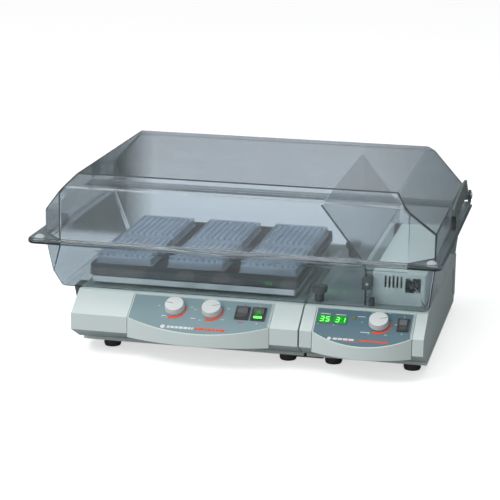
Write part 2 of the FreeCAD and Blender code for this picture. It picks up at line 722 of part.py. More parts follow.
def status_lamp():
    lens = Part.makeSphere(2.6, V(0, 0, LABEL_T - 0.6)).common(rod(0, 0, LABEL_T, 2.5, 5))
    return on_slope(lens, 177.5, 17.5)


# ---- shaker drive ---------------------------------------------------------------------
def eccentric_shaft():
    shaft = rod(AXIS_X, AXIS_Y, 24, SHAFT_R, 66)
    collar = rod(AXIS_X, AXIS_Y, 84.3, 12, 6.7)
    crank = rod(AXIS_X + ORBIT, AXIS_Y, 91, PIN_R, 15)
    return shaft.fuse(collar).fuse(crank).removeSplitter()


def driven_pulley():
    z = 50.0
    wheel = rod(AXIS_X, AXIS_Y, z, PULLEY_R + 1.5, 12)
    groove = tube(AXIS_X, AXIS_Y, z + 2, PULLEY_R + 5, PULLEY_R, 8)
    wheel = wheel.cut(groove).cut(rod(AXIS_X, AXIS_Y, z, SHAFT_R, 12))
    for i in range(6):
        angle = math.radians(60 * i + 30)
        x = AXIS_X + 29 * math.cos(angle)
        y = AXIS_Y + 29 * math.sin(angle)
        wheel = wheel.cut(rod(x, y, z, 9, 12))
    return wheel


def counterweight():
    """Half disc opposite the crank throw."""
    disc = rod(AXIS_X, AXIS_Y, 64, 38, 10)
    disc = disc.cut(box((AXIS_X + 2, AXIS_X + 60), (-60, 60), (60, 80)))
    hub = rod(AXIS_X, AXIS_Y, 64, 14, 10)
    return disc.fuse(hub).cut(rod(AXIS_X, AXIS_Y, 64, SHAFT_R, 10)).removeSplitter()


def main_bearing_block():
    """Casting on the base pan that holds the main shaft's two bearings."""
    floor = PAN_BOTTOM + 2
    base = box((AXIS_X - 60, AXIS_X + 34), (-34, 34), (floor, floor + 6))
    tower = rod(AXIS_X, AXIS_Y, floor, 20, 36)
    bore = rod(AXIS_X, AXIS_Y, floor + 10, 15, 40)
    lower = rod(AXIS_X, AXIS_Y, floor + 8, 11, 40)
    block = base.fuse(tower).cut(bore).cut(lower)
    bridge = box((AXIS_X - 60, AXIS_X - 52), (-24, 24), (floor, 80))
    arm = box((AXIS_X - 60, AXIS_X), (-24, 24), (76, 84)).fuse(rod(AXIS_X, AXIS_Y, 76, 24, 8))
    arm = arm.cut(rod(AXIS_X, AXIS_Y, 76, 15, 8))
    return block.fuse(bridge).fuse(arm).removeSplitter()


def main_bearings():
    low = tube(AXIS_X, AXIS_Y, PAN_BOTTOM + 2 + 26, 15, SHAFT_R + RUN, 9)
    high = tube(AXIS_X, AXIS_Y, 76, 15, SHAFT_R + RUN, 8)
    return [low, high]


def shaker_motor():
    floor = PAN_BOTTOM + 2
    can = rod(MOTOR_X, AXIS_Y, floor, 27, 34)
    foot = rounded_box((MOTOR_X - 34, MOTOR_X + 34), (-34, 34), (floor, floor + 3), 6)
    nose = rod(MOTOR_X, AXIS_Y, floor + 34, 9, 2)
    bore = rod(MOTOR_X, AXIS_Y, floor + 20, 3 + RUN, 20)
    return can.fuse(foot).fuse(nose).cut(bore).removeSplitter()


def motor_pulley():
    """Small pulley in one piece with the motor's shaft."""
    shaft = rod(MOTOR_X, AXIS_Y, 33, 3, 30)
    wheel = rod(MOTOR_X, AXIS_Y, 50, MOTOR_PULLEY_R + 1.5, 12)
    wheel = wheel.cut(tube(MOTOR_X, AXIS_Y, 52, MOTOR_PULLEY_R + 5, MOTOR_PULLEY_R, 8))
    return wheel.fuse(shaft).removeSplitter()


def belt_loop(extra, z):
    """Open-belt outline round both pulleys, standing extra off their rims."""
    span = MOTOR_X - AXIS_X
    big, small = PULLEY_R + extra, MOTOR_PULLEY_R + extra
    lean = math.acos((big - small) / span)

    def rim(cx, r, angle):
        return V(cx + r * math.cos(angle), AXIS_Y + r * math.sin(angle), z)

    edges = [
        Part.Arc(rim(AXIS_X, big, lean), rim(AXIS_X, big, math.pi), rim(AXIS_X, big, -lean)).toShape(),
        Part.LineSegment(rim(AXIS_X, big, -lean), rim(MOTOR_X, small, -lean)).toShape(),
        Part.Arc(rim(MOTOR_X, small, -lean), rim(MOTOR_X, small, 0), rim(MOTOR_X, small, lean)).toShape(),
        Part.LineSegment(rim(MOTOR_X, small, lean), rim(AXIS_X, big, lean)).toShape(),
    ]
    return Part.Face(Part.Wire(edges))


def drive_belt():
    z = 53.0
    outer = belt_loop(1.5, z).extrude(V(0, 0, 6))
    inner = belt_loop(0.3, z).extrude(V(0, 0, 6))
    return outer.cut(inner)


def guide_bearing_posts():
    posts = []
    floor = PAN_BOTTOM + 2
    for x, y in GUIDES:
        foot = rod(x, y, floor, 18, 4)
        post = rod(x, y, floor, 10, 86 - floor)
        bore = rod(x, y, 66, GUIDE_R + RUN, 40)
        posts.append(foot.fuse(post).cut(bore).removeSplitter())
    return posts


def guide_crank(x, y):
    lower = rod(x, y, 67, GUIDE_R, 20)
    web = rod(x, y, 86.4, 8.5, 5)
    upper = rod(x + ORBIT, y, 91, GUIDE_R, 13)
    return lower.fuse(web).fuse(upper).removeSplitter()


def carriage_frame():
    """Light alloy frame that carries the platform, with a hub for each crank pin."""
    z0, z1 = CARRIAGE_Z
    x = (PLATFORM_X[0] + 3, PLATFORM_X[1] - 3)
    y = (PLATFORM_Y[0] + 1, PLATFORM_Y[1] - 3)
    frame = rounded_box(x, y, (z0, z1), 4)
    for sx in (-1, 1):
        for sy in (-1, 1):
            cx = AXIS_X + ORBIT + sx * 80
            cy = sy * 62
            pocket = rounded_box((cx - 48, cx + 48), (cy - 26, cy + 26), (z0 - 1, z1 + 1), 8)
            frame = frame.cut(pocket)
    frame = frame.cut(rod(AXIS_X + ORBIT, AXIS_Y, z0 - 2, PIN_R + RUN, 10.5))
    for gx, gy in GUIDES:
        frame = frame.cut(rod(gx + ORBIT, gy, z0 - 2, GUIDE_R + 0.3, 9.5))
    for sx in (-1, 1):
        for sy in (-1, 1):
            post = rod(AXIS_X + ORBIT + sx * 130, sy * 120, z1, 6, PLATE_Z[0] - z1)
            frame = frame.fuse(post)
    return frame.removeSplitter()


def platform_plate():
    return rounded_box(PLATFORM_X, PLATFORM_Y, PLATE_Z, 5)


def platform_mat():
    """Ribbed black mat with raised stops that keep the plates in their places."""
    x = (PLATFORM_X[0] + 0.5, PLATFORM_X[1] - 0.5)
    y = (PLATFORM_Y[0] + 0.5, PLATFORM_Y[1] - 0.5)
    mat = rounded_box(x, y, (PLATE_Z[1], MAT_TOP), 4.5)
    for cx, cy in microplate_spots():
        w, d, _ = MICROPLATE
        pocket_x = (cx - w / 2 - 0.4, cx + w / 2 + 0.4)
        pocket_y = (cy - d / 2 - 0.4, cy + d / 2 + 0.4)
        mat = mat.cut(box(pocket_x, pocket_y, (MAT_TOP - 2, MAT_TOP + 1)))
    return mat


def microplate_spots():
    spots = []
    for row in (-0.5, 0.5):
        for column in (-1, 0, 1):
            spots.append((AXIS_X + ORBIT + column * COLUMN_PITCH, ROW_MID_Y + row * ROW_PITCH))
    return spots


def microplates():
    solids = []
    w, d, h = MICROPLATE
    z = MAT_TOP - 2
    for cx, cy in microplate_spots():
        skirt = rounded_box((cx - w / 2, cx + w / 2), (cy - d / 2, cy + d / 2), (z, z + 2.6), 3.0)
        half_w, half_d = w / 2 - 1.6, d / 2 - 1.6
        upper_x = (cx - half_w, cx + half_w)
        upper = rounded_box(upper_x, (cy - half_d, cy + half_d), (z + 2.6, z + h), 2.4)
        solids.append(skirt.fuse(upper).removeSplitter())
    return solids


# ---- heater unit ----------------------------------------------------------------------
def heater_air_box():
    """Raised air duct with a louvre and a fan opening in its front."""
    outer = rounded_box(AIRBOX_X, AIRBOX_Y, (DECK, AIRBOX_TOP), 3.0)
    inner_x = (AIRBOX_X[0] + 2, AIRBOX_X[1] - 2)
    inner = box(inner_x, (AIRBOX_Y[0] + 2, AIRBOX_Y[1] - 2), (DECK - 1, AIRBOX_TOP - 2))
    duct = outer.cut(inner)
    front = (AIRBOX_Y[0] - 1, AIRBOX_Y[0] + 3)
    for i in range(LOUVRE_COUNT):
        x = LOUVRE_X + i * LOUVRE_PITCH
        duct = duct.cut(box((x, x + LOUVRE_W), front, LOUVRE_Z))
    duct = duct.cut(box((242, 263), front, (111.5, 132.5)))
    return duct


def fan_frame():
    """Square frame of a small axial fan, with its motor boss on four struts."""
    y0 = AIRBOX_Y[0] + 2
    half = FAN_SIDE / 2
    x = (FAN_X - half, FAN_X + half)
    z = (FAN_Z - half, FAN_Z + half)
    frame = rounded_box(x, (y0, y0 + 10), z, 1.5, "y")
    frame = frame.cut(rod(FAN_X, y0 - 1, FAN_Z, 11.5, 12, V(0, 1, 0)))
    boss = rod(FAN_X, y0 + 8, FAN_Z, 5.5, 2, V(0, 1, 0))
    for angle in (45, 135):
        strut = box((FAN_X - 12.2, FAN_X + 12.2), (y0 + 8.5, y0 + 10), (FAN_Z - 0.8, FAN_Z + 0.8))
        strut.rotate(V(FAN_X, 0, FAN_Z), V(0, 1, 0), angle)
        boss = boss.fuse(strut)
    bore = rod(FAN_X, y0 + 6, FAN_Z, 1.0 + RUN, 6, V(0, 1, 0))
    return frame.fuse(boss).cut(bore).removeSplitter()


def fan_impeller():
    y0 = AIRBOX_Y[0] + 3
    hub = rod(FAN_X, y0, FAN_Z, 5.5, 6.4, V(0, 1, 0))
    shaft = rod(FAN_X, y0 + 6, FAN_Z, 1.0, 3.5, V(0, 1, 0))
    wheel = hub.fuse(shaft)
    for i in range(7):
        blade = box((FAN_X - 0.5, FAN_X + 0.5), (y0 + 0.2, y0 + 6.2), (FAN_Z + 4.5, FAN_Z + 10.8))
        blade.rotate(V(FAN_X, y0 + 3.2, FAN_Z), V(0, 0, 1), 32)
        blade.rotate(V(FAN_X, 0, FAN_Z), V(0, 1, 0), i * 360 / 7)
        wheel = wheel.fuse(blade)
    return wheel.removeSplitter()


def heating_element():
    """Finned rod heater along the air box, standing on two feet."""
    y0, y1 = -95.0, 120.0
    x, z = 232.0, 113.0
    element = rod(x, y0, z, 4.0, y1 - y0, V(0, 1, 0))
    count = 26
    for i in range(count):
        y = y0 + 10 + i * (y1 - y0 - 22) / (count - 1)
        element = element.fuse(rod(x, y, z, 12.0, 0.8, V(0, 1, 0)))
    for y in (y0 + 2, y1 - 5):
        element = element.fuse(box((x - 3, x + 3), (y, y + 3), (DECK, z)))
        element = element.fuse(box((AIRBOX_X[0] + 2, AIRBOX_X[1] - 2), (y, y + 3), (DECK, DECK + 2)))
    return element.removeSplitter()


def temperature_sensor():
    """Probe in the air drawn in behind the fan, fixed to the box's side wall."""
    probe = rod(AIRBOX_X[1] - 30, -115, 112, 1.8, 28, V(1, 0, 0))
    nut = rod(AIRBOX_X[1] - 5, -115, 112, 4.0, 3, V(1, 0, 0))
    return probe.fuse(nut).removeSplitter()


def circuit_boards():
    boards = []
    for x, y in (((-215, -150), (60, 160)), ((120, 175), (-60, 60))):
        board = box(x, y, (26, 27.6))
        for px in (x[0] + 5, x[1] - 5):
            for py in (y[0] + 5, y[1] - 5):
                board = board.fuse(rod(px, py, PAN_BOTTOM + 2, 3, 14))
        chip = box((x[0] + 15, x[0] + 35), (y[0] + 20, y[0] + 40), (27.6, 31))
        can = rod(x[1] - 15, y[1] - 25, 27.6, 8, 22)
        boards.append(board.fuse(chip).fuse(can).removeSplitter())
    return boards


def power_inlets():
    """Appliance inlets on the rear walls: a shrouded socket with three blades."""
    inlets = []
    for x in INLET_X:
        plate = box((x - 16, x + 16), (BACK_Y, BACK_Y + 2), (33, 59))
        body = box((x - 13.5, x + 13.5), (BACK_Y - 12, BACK_Y + INLET_DEPTH), (35.5, 56.5))
        cavity_y = (BACK_Y + 1.5, BACK_Y + INLET_DEPTH + 1)
        cavity = rounded_box((x - 11.5, x + 11.5), cavity_y, (38, 54), 2.5, "y")
        inlet = plate.fuse(body).cut(cavity)
        for dx, dz in ((-7, -1.5), (0, 2.5), (7, -1.5)):
            blade_y = (BACK_Y + 1, BACK_Y + 9.5)
            blade = box((x + dx - 1, x + dx + 1), blade_y, (46 + dz - 2, 46 + dz + 2))
            inlet = inlet.fuse(blade)
        inlets.append(inlet.removeSplitter())
    return inlets


def clamp_knob(x, y):
    """Mushroom hand nut on a stud that holds the tub down on the heater unit."""
    stem = rod(x, y, TUB_FLOOR + 0.3, 7.0, 14)
    cap = rod(x, y, TUB_FLOOR + 13, 11.3, 10)
    rims = [e for e in cap.Edges if e.Closed]
    cap = cap.makeFillet(2.5, rims)
    for i in range(8):
        flute = rod(x + 12.6, y, TUB_FLOOR + 10, 2.0, 20)
        flute.rotate(V(x, y, 0), V(0, 0, 1), i * 45)
        cap = cap.cut(flute)
    stud = rod(x, y, 80, 3.0, TUB_FLOOR - 78)
    return stem.fuse(cap).fuse(stud).removeSplitter()


def main():
    os.makedirs("parts", exist_ok=True)
    shaker_controls = [(x, 4.6, 0) for x in SHAKER_KNOBS.values()]
    shaker_controls += [ROCKERS["start_rocker"], ROCKERS["shaker_power_rocker"]]
    heater_controls = [(HEATER_KNOB_X, 4.6, 0), ROCKERS["heater_power_rocker"]]

    save("hood_lid", hood_lid())
    save("lid_corner_buttons", lid_corner_buttons())
    save("tub", tub())
    save("drain_plug", drain_plug())
    save("hinge_arms", hinge_arms())
    save("arm_studs", arm_studs())
    save("hinge_brackets", hinge_brackets())
    save("hinge_pins", hinge_pins())
    save("air_baffle", air_baffle())
    save("baffle_clips", baffle_clips())

    save("shaker_front_moulding", front_moulding(SHAKER_X, SHAKER_FASCIA_X))
    save("shaker_fascia", fascia(SHAKER_FASCIA_X, shaker_controls))
    save("shaker_label", label(SHAKER_FASCIA_X, shaker_controls))
    save("shaker_cover", shaker_cover())
    save("shaker_base_pan", base_pan(SHAKER_X))
    save("drive_cover_plate", drive_cover_plate())
    save("heater_front_moulding", front_moulding(HEATER_X, HEATER_FASCIA_X))
    save("heater_fascia", fascia(HEATER_FASCIA_X, heater_controls))
    save("heater_label", label(HEATER_FASCIA_X, heater_controls))
    save("heater_cover", heater_cover())
    save("heater_base_pan", base_pan(HEATER_X))
    save("left_support_bracket", left_support_bracket())
    save("joining_plates", joining_plates())
    save("feet", feet())
    save("housing_screws", housing_screws())

    for name, x in SHAKER_KNOBS.items():
        save(name, knob(x, POINTER_DEG[name]))
    save("temperature_knob", knob(HEATER_KNOB_X, POINTER_DEG["temperature_knob"]))
    save("potentiometers", potentiometers())
    save("rocker_frames", rocker_frames())
    for name in ROCKERS:
        save(name, rocker(name))
    save("displays", displays())
    save("status_lamp", status_lamp())

    save("eccentric_shaft", eccentric_shaft())
    save("driven_pulley", driven_pulley())
    save("counterweight", counterweight())
    save("main_bearing_block", main_bearing_block())
    save("main_bearings", main_bearings())
    save("shaker_motor", shaker_motor())
    save("motor_pulley", motor_pulley())
    save("drive_belt", drive_belt())
    save("guide_bearing_posts", guide_bearing_posts())
    for number, (x, y) in enumerate(GUIDES, 1):
        save(f"guide_crank_{number}", guide_crank(x, y))
    save("carriage_frame", carriage_frame())
    save("platform_plate", platform_plate())
    save("platform_mat", platform_mat())
    save("microplates", microplates())

    save("heater_air_box", heater_air_box())
    save("fan_frame", fan_frame())
    save("fan_impeller", fan_impeller())
    save("heating_element", heating_element())
    save("temperature_sensor", temperature_sensor())
    save("circuit_boards", circuit_boards())
    save("power_inlets", power_inlets())
    for name, (x, y) in CLAMPS.items():
        save(name, clamp_knob(x, y))


main()
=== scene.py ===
"""Looks for the incubator shaker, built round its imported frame. Metres, +Z up."""

import json
import math
import random

import bmesh
import bpy
from mathutils import Matrix, Vector


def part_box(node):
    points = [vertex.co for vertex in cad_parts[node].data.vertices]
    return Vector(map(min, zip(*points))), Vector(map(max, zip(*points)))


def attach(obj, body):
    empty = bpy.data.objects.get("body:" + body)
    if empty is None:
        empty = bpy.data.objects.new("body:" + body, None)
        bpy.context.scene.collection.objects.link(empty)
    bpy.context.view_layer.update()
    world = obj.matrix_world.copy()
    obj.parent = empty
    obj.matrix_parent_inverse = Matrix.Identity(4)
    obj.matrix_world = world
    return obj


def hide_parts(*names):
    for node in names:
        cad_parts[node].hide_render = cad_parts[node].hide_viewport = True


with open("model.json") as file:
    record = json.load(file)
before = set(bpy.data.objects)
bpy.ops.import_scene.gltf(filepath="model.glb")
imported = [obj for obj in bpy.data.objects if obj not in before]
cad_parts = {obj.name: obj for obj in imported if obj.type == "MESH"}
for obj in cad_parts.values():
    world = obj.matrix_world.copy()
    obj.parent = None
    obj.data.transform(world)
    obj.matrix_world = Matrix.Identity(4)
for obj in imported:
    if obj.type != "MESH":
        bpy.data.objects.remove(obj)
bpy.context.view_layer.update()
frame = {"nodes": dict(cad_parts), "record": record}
MM = 0.001
WORN_DARK = (0.16, 0.16, 0.16)     # rubbed edges of dark mouldings

# ---- sizes shared with the frame, in millimetres ------------------------------------------
DECK = 90.0
FACE_Y = -209.0
SLOPE_BACK_Y = -167.0
CREASE_Z = 65.0
SLOPE = math.atan2(DECK - CREASE_Z, SLOPE_BACK_Y - FACE_Y)
SLOPE_LENGTH = math.hypot(DECK - CREASE_Z, SLOPE_BACK_Y - FACE_Y)
LABEL_T = 0.4
SHAKER_FASCIA_X = (-145.0, 61.0)
HEATER_FASCIA_X = (122.5, 262.5)
KNOBS = {"timer": -80.0, "speed": -26.0, "temperature": 213.5}
KNOB_S = 24.5              # down the slope, from its upper edge
KNOB_TOP = 10.0
POINTERS = {"timer": 80.0, "speed": -70.0, "temperature": -72.0}
ROCKER_X = 42.0            # the lit power rocker
ROCKER_S = 25.0
ROCKER_TILT = math.radians(6.0)
ROCKER_PIVOT = 1.0         # below the label's face
ROCKER_VALLEY = 1.9        # lowest line across the rocker's face, above the label
DISPLAYS = {"35": 136.8, "31": 158.8}
DISPLAY_S = 24.0
DISPLAY_FACE = 0.9         # the window's face above the label
BAFFLE_SCREW_X = 189.8
BAFFLE_SCREW_Z = 124.6
WELL_PITCH = 9.0
WELL_COLUMNS = 8
WELL_ROWS = 12
PLATE_W, PLATE_D, PLATE_H = 85.48, 127.76, 14.35
PRINT_Z = (0.0, 0.07)      # thickness of printed marks
PRINT_H = LABEL_T + 0.01


# ---- material helpers ---------------------------------------------------------------------
def new_material(name):
    material = bpy.data.materials.new(name)
    material.use_nodes = True
    tree = material.node_tree
    tree.nodes.clear()
    out = tree.nodes.new("ShaderNodeOutputMaterial")
    return material, tree, out


def node(tree, kind, values=None, **settings):
    made = tree.nodes.new(kind)
    for key, value in settings.items():
        setattr(made, key, value)
    for key, value in (values or {}).items():
        made.inputs[key].default_value = value
    return made


def link(tree, source, target):
    tree.links.new(source, target)


def noise(tree, scale, detail=3.0, stretch=(1.0, 1.0, 1.0)):
    """Noise over the piece's own coordinates; scale is in features per metre."""
    place = node(tree, "ShaderNodeTexCoord")
    mapping = node(tree, "ShaderNodeMapping", {"Scale": stretch})
    texture = node(tree, "ShaderNodeTexNoise", {"Scale": scale, "Detail": detail})
    link(tree, place.outputs["Object"], mapping.inputs["Vector"])
    link(tree, mapping.outputs["Vector"], texture.inputs["Vector"])
    return texture.outputs["Fac"]


def remap(tree, source, low, high, start=0.3, end=0.7):
    ranged = node(tree, "ShaderNodeMapRange")
    ranged.inputs["From Min"].default_value = start
    ranged.inputs["From Max"].default_value = end
    ranged.inputs["To Min"].default_value = low
    ranged.inputs["To Max"].default_value = high
    link(tree, source, ranged.inputs["Value"])
    return ranged.outputs["Result"]


def mixed_colour(tree, fac, a, b):
    """Colour that runs from a to b with fac; either may be a socket."""
    mix = node(tree, "ShaderNodeMix", data_type="RGBA")
    link(tree, fac, mix.inputs[0])
    for socket, colour in ((mix.inputs[6], a), (mix.inputs[7], b)):
        if hasattr(colour, "links"):
            link(tree, colour, socket)
        else:
            socket.default_value = (*colour, 1.0)
    return mix.outputs[2]


def scaled(colour, k):
    return tuple(min(1.0, c * k) for c in colour)


def surface(name, colour, rough, vary=0.06, grain=1400.0, depth=0.03, strength=0.25,
            wear=0.0, mottle=0.06, metallic=0.0, coat=0.0, stretch=(1.0, 1.0, 1.0), specular=0.5):
    """Opaque moulded, painted or machined surface.

    Vary is the swing in roughness, grain the fine noise in features per metre, depth its
    height in mm, wear how far the sharp edges rub through, and mottle the swing in colour.
    """
    material, tree, out = new_material(name)
    shader = node(tree, "ShaderNodeBsdfPrincipled")
    shader.inputs["Metallic"].default_value = metallic
    shader.inputs["Coat Weight"].default_value = coat
    shader.inputs["Coat Roughness"].default_value = 0.12
    shader.inputs["Specular IOR Level"].default_value = specular
    blotch = noise(tree, 14.0, 4.0)
    fine = noise(tree, grain, 2.0, stretch)
    base = mixed_colour(tree, blotch, scaled(colour, 1.0 - mottle), scaled(colour, 1.0 + mottle))
    if wear:
        geometry = node(tree, "ShaderNodeNewGeometry")
        edge = remap(tree, geometry.outputs["Pointiness"], 0.0, wear, 0.52, 0.60)
        worn = scaled(colour, 1.35) if colour[0] > 0.2 else WORN_DARK
        base = mixed_colour(tree, edge, base, worn)
    link(tree, base, shader.inputs["Base Color"])
    link(tree, remap(tree, blotch, rough - vary, rough + vary), shader.inputs["Roughness"])
    bump = node(tree, "ShaderNodeBump", {"Strength": strength, "Distance": depth * MM})
    link(tree, fine, bump.inputs["Height"])
    link(tree, bump.outputs["Normal"], shader.inputs["Normal"])
    link(tree, shader.outputs["BSDF"], out.inputs["Surface"])
    return material


def clear(name, tint, rough=0.03, haze=0.02, veil=None, edge=None, shade=None, smoke=None):
    """Clear or smoked moulding that lets lamps through.

    Veil is a share and colour of haze in the surface, edge a painted shade, a dark colour laid on
    faces that face Y for the dark look of cut edges, shade the tint of the light let through, and smoke
    a colour and its density.
    """
    material, tree, out = new_material(name)
    shader = node(tree, "ShaderNodeBsdfPrincipled")
    shader.inputs["Transmission Weight"].default_value = 1.0
    shader.inputs["IOR"].default_value = 1.49
    if edge:
        place = node(tree, "ShaderNodeTexCoord")
        split = node(tree, "ShaderNodeSeparateXYZ")
        flip = node(tree, "ShaderNodeMath", operation="ABSOLUTE")
        link(tree, place.outputs["Normal"], split.inputs["Vector"])
        link(tree, split.outputs["Y"], flip.inputs[0])
        # painted shade: faces that face Y take the dark edge colour, for the dark look of cut edges in
        # clear plastic
        painted_edge_shade = remap(tree, flip.outputs["Value"], 0.0, 1.0, 0.6, 0.8)
        link(tree, mixed_colour(tree, painted_edge_shade, tint, edge), shader.inputs["Base Color"])
    else:
        shader.inputs["Base Color"].default_value = (*tint, 1.0)
    smear = noise(tree, 11.0, 5.0)
    link(tree, remap(tree, smear, rough, rough + haze), shader.inputs["Roughness"])
    ripple = noise(tree, 26.0, 1.0)
    bump = node(tree, "ShaderNodeBump", {"Strength": 0.12, "Distance": 0.12 * MM})
    link(tree, ripple, bump.inputs["Height"])
    link(tree, bump.outputs["Normal"], shader.inputs["Normal"])
    path = node(tree, "ShaderNodeLightPath")
    see = node(tree, "ShaderNodeBsdfTransparent")
    see.inputs["Color"].default_value = (*(shade or tint), 1.0)
    mix = node(tree, "ShaderNodeMixShader")
    link(tree, path.outputs["Is Shadow Ray"], mix.inputs[0])
    body = shader.outputs["BSDF"]
    if veil:
        coat = node(tree, "ShaderNodeBsdfPrincipled")
        coat.inputs["Base Color"].default_value = (*veil[1], 1.0)
        coat.inputs["Roughness"].default_value = 0.6
        both = node(tree, "ShaderNodeMixShader")
        link(tree, remap(tree, smear, veil[0] * 0.7, veil[0] * 1.3), both.inputs[0])
        link(tree, body, both.inputs[1])
        link(tree, coat.outputs["BSDF"], both.inputs[2])
        body = both.outputs["Shader"]
    link(tree, body, mix.inputs[1])
    link(tree, see.outputs["BSDF"], mix.inputs[2])
    link(tree, mix.outputs["Shader"], out.inputs["Surface"])
    if smoke:
        absorb = node(tree, "ShaderNodeVolumeAbsorption", {"Color": (*smoke[0], 1), "Density": smoke[1]})
        link(tree, absorb.outputs["Volume"], out.inputs["Volume"])
    return material


def glow(name, colour, strength, base=None):
    """Lit plastic: brightness varies a little over the face, as behind a diffuser."""
    material, tree, out = new_material(name)
    shader = node(tree, "ShaderNodeBsdfPrincipled")
    shader.inputs["Base Color"].default_value = (*(base or colour), 1.0)
    shader.inputs["Emission Color"].default_value = (*colour, 1.0)
    patch = noise(tree, 260.0, 2.0)
    link(tree, remap(tree, patch, strength * 0.75, strength * 1.25), shader.inputs["Emission Strength"])
    link(tree, remap(tree, patch, 0.2, 0.32), shader.inputs["Roughness"])
    link(tree, shader.outputs["BSDF"], out.inputs["Surface"])
    return material


SLOTS = {
    "smoked_clear": clear(
        "smoked_clear", (0.87, 0.90, 0.92), 0.02, 0.02, veil=(0.05, (0.50, 0.56, 0.58)),
        shade=(0.86, 0.88, 0.89), smoke=((0.30, 0.40, 0.46), 20.0)),
    # painted shade: near-black on faces that face Y, for the dark cut edges of clear parts
    "clear_plastic": clear("clear_plastic", (0.86, 0.88, 0.90), 0.03, 0.04, edge=(0.01, 0.012, 0.03)),
    "housing_grey": surface(
        "housing_grey", (0.66, 0.745, 0.73), rough=0.42, vary=0.07, grain=1700, depth=0.035,
        strength=0.3, wear=0.35, mottle=0.02),
    "label_blue_grey": surface(
        "label_blue_grey", (0.25, 0.365, 0.40), rough=0.36, vary=0.05, grain=2600, depth=0.02,
        strength=0.2, mottle=0.04),
    "knob_grey": surface(
        "knob_grey", (0.80, 0.84, 0.83), rough=0.38, grain=2400, wear=0.3, mottle=0.03),
    "black_plastic": surface(
        "black_plastic", (0.022, 0.024, 0.028), rough=0.42, vary=0.08, grain=2200, depth=0.04,
        strength=0.3, wear=0.5, mottle=0.25),
    "black_rubber": surface(
        "black_rubber", (0.016, 0.016, 0.017), rough=0.72, vary=0.08, grain=1300, depth=0.06,
        strength=0.4, wear=0.4, mottle=0.3),
    "black_steel": surface(
        "black_steel", (0.02, 0.022, 0.025), rough=0.46, vary=0.08, grain=1500, depth=0.05,
        strength=0.35, wear=0.5, mottle=0.2),
    "platform_dark": surface(
        "platform_dark", (0.018, 0.026, 0.040), rough=0.50, vary=0.08, grain=1800,
        strength=0.3, wear=0.5, mottle=0.2),
    "alloy": surface(
        "alloy", (0.66, 0.68, 0.68), rough=0.34, vary=0.08, grain=1500, strength=0.3, wear=0.3,
        mottle=0.05, metallic=0.9, stretch=(1, 12, 12)),
    "steel": surface(
        "steel", (0.55, 0.56, 0.57), rough=0.26, vary=0.08, grain=1700, depth=0.02,
        strength=0.3, wear=0.3, mottle=0.05, metallic=1.0, stretch=(12, 12, 1)),
    "cast_grey": surface(
        "cast_grey", (0.16, 0.17, 0.18), rough=0.62, vary=0.10, grain=700, depth=0.12,
        strength=0.5, wear=0.4, mottle=0.15),
    "rocker_black": surface(
        "rocker_black", (0.018, 0.024, 0.032), rough=0.30, vary=0.05, grain=2200, depth=0.02,
        strength=0.2, wear=0.4, mottle=0.1, coat=0.3),
    "rocker_lit_green": surface(
        "rocker_lit_green", (0.012, 0.05, 0.016), rough=0.2, vary=0.05, grain=2200, depth=0.02,
        strength=0.2, wear=0.2, mottle=0.1, coat=0.3),
    "display_green": glow("display_green", (0.0, 0.42, 0.02), 0.75, (0.0, 0.10, 0.01)),
    "lamp_amber": surface(
        "lamp_amber", (0.26, 0.22, 0.03), rough=0.18, vary=0.05, grain=1800, depth=0.02,
        strength=0.2, mottle=0.1, coat=0.5),
    "board_green": surface(
        "board_green", (0.02, 0.16, 0.06), rough=0.45, vary=0.08, grain=1800, strength=0.3,
        wear=0.2, mottle=0.15),
}
for part in frame["record"]["subparts"]:
    shown = frame["nodes"][part["node"]]
    shown.data.materials.clear()
    shown.data.materials.append(SLOTS[part["material_slot"]])

TUB_CLEAR = clear("tub_clear", (0.84, 0.88, 0.89), 0.05, 0.04, veil=(0.03, (0.46, 0.50, 0.50)),
                  shade=(0.88, 0.90, 0.90), smoke=((0.32, 0.40, 0.45), 62.0))
ARM_SMOKE = clear("arm_smoke", (0.58, 0.64, 0.62), 0.08, 0.05, veil=(0.45, (0.27, 0.32, 0.30)))
# painted highlight: a thick pale haze makes the lid's corner buttons read bright, in place of their
# specular glint
BUTTON_PAINTED_HIGHLIGHT = clear("button_painted_highlight", (0.85, 0.87, 0.88), 0.05, 0.03, veil=(0.45, (0.75, 0.77, 0.78)))
LABEL_DEEP = surface(
    "label_deep", (0.118, 0.212, 0.262), rough=0.36, vary=0.05, grain=2600, depth=0.02,
    strength=0.2, mottle=0.04)
OWN_MATERIALS = {
    "heater_label": LABEL_DEEP,
    "tub": TUB_CLEAR,
    "hinge_arms": ARM_SMOKE,
    "lid_corner_buttons": BUTTON_PAINTED_HIGHLIGHT,
}
for name, material in OWN_MATERIALS.items():
    frame["nodes"][name].data.materials[0] = material

PRINT_WHITE = surface(
    "print_white", (0.80, 0.82, 0.82), rough=0.5, vary=0.05, grain=2600, depth=0.01,
    strength=0.2, mottle=0.03)
PRINT_ORANGE = surface(
    "print_orange", (1.0, 0.072, 0.003), rough=0.45, vary=0.05, grain=2600, depth=0.01,
    strength=0.2, mottle=0.01)
PRINT_RED = surface(
    "print_red", (0.70, 0.05, 0.05), rough=0.5, vary=0.05, grain=2600, depth=0.01,
    strength=0.2, mottle=0.04)
# painted shade: dark strips deepen the dials' pointer grooves into dark pointer lines
POINTER_GROOVE_SHADE = surface(
    "pointer_groove_shade", (0.10, 0.11, 0.12), rough=0.5, vary=0.05, grain=2600, depth=0.01,
    strength=0.2, mottle=0.1)
SEGMENT_LIT = glow("segment_lit", (0.22, 1.0, 0.16), 1.6)
ROCKER_LIT = glow("rocker_lit_bar", (0.12, 1.0, 0.10), 1.9)
ROCKER_DIM = glow("rocker_dim_glow", (0.02, 0.34, 0.03), 0.55, (0.005, 0.05, 0.01))
SCREW_STEEL = surface(
    "screw_steel", (0.72, 0.72, 0.70), rough=0.28, grain=1500, depth=0.02, strength=0.3,
    wear=0.3, mottle=0.04, metallic=1.0)
POLYSTYRENE = clear("polystyrene", (0.82, 0.87, 0.92), 0.10, 0.08, veil=(0.42, (0.50, 0.58, 0.68)))


